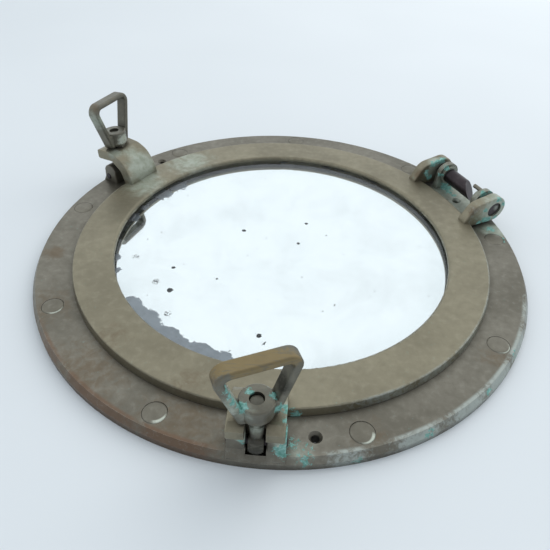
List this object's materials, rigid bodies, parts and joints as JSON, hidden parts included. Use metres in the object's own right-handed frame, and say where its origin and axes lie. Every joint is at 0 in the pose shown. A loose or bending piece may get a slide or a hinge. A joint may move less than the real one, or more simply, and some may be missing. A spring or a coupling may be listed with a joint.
{
  "type": "ship's porthole with mirror",
  "caption": "Round cast flange ring with a hinged, mirror-glazed sash that two swing bolts with loop nuts clamp shut; screws or bolts flat to a wall or bulkhead.",
  "frame": {"origin": "centre of the flange ring, on its flat back face", "axes": "+Z out of the face of the ring, from the wall towards the room; the front dog is towards -Y and the hinge towards +X and a little +Y"},
  "size_m": [0.3704, 0.3733, 0.0812],
  "materials": {
    "flange_brass": "cast, browned and dulled by age",
    "plug_brass": "flush filed, dull",
    "sash_brass": "cast, worn smooth, olive brown",
    "dog_brass": "cast, rubbed bright on the handle, green in the corners",
    "pin_bronze": "dark bronze, satin",
    "mirror_glass": "clear plate",
    "silvering": "old silver, worn at the edge",
    "putty": "hardened putty",
    "gasket_rubber": "matt black",
    "board": "plain board",
    "inner_brass": "plain brass"
  },
  "bodies": {
    "frame": {"frame_flange_ring": "flange_brass", "flange_bolts": "plug_brass", "hinge_pin": "pin_bronze", "hinge_pin_short": "pin_bronze", "hinge_lock_dowel": "plug_brass", "front_pivot_pin": "pin_bronze", "rear_pivot_pin": "pin_bronze"},
    "sash": {"sash_ring": "sash_brass", "sash_gasket": "gasket_rubber", "glazing_bedding": "putty", "mirror_glass": "mirror_glass", "mirror_silvering": "silvering", "backing_board": "board", "retaining_ring": "inner_brass", "retaining_ring_screws": "inner_brass"},
    "front_dog": {"front_swing_bolt": "dog_brass"},
    "front_nut": {"front_loop_nut": "dog_brass"},
    "rear_dog": {"rear_swing_bolt": "dog_brass"},
    "rear_nut": {"rear_loop_nut": "dog_brass"}
  },
  "joints": [
    {"name": "sash_hinge", "type": "hinge", "parent": "frame", "child": "sash", "pos_m": [0.15765, 0.07689, 0.0216], "axis": [-0.4384, 0.8988, 0], "range_deg": [0, 105]},
    {"name": "front_dog_swing", "type": "hinge", "parent": "frame", "child": "front_dog", "pos_m": [-0.01108, -0.17615, 0.0144], "axis": [0.998, -0.0628, 0], "range_deg": [0, 75]},
    {"name": "front_nut_turn", "type": "hinge", "parent": "front_dog", "child": "front_nut", "pos_m": [-0.01108, -0.17615, 0.045], "axis": [0, 0, 1], "continuous": true},
    {"name": "rear_dog_swing", "type": "hinge", "parent": "frame", "child": "rear_dog", "pos_m": [-0.14667, 0.09819, 0.0144], "axis": [-0.5563, -0.831, 0], "range_deg": [-4, 71]},
    {"name": "rear_nut_turn", "type": "hinge", "parent": "rear_dog", "child": "rear_nut", "pos_m": [-0.14849, 0.0994, 0.04492], "axis": [-0.0594, 0.0398, 0.9974], "continuous": true}
  ]
}
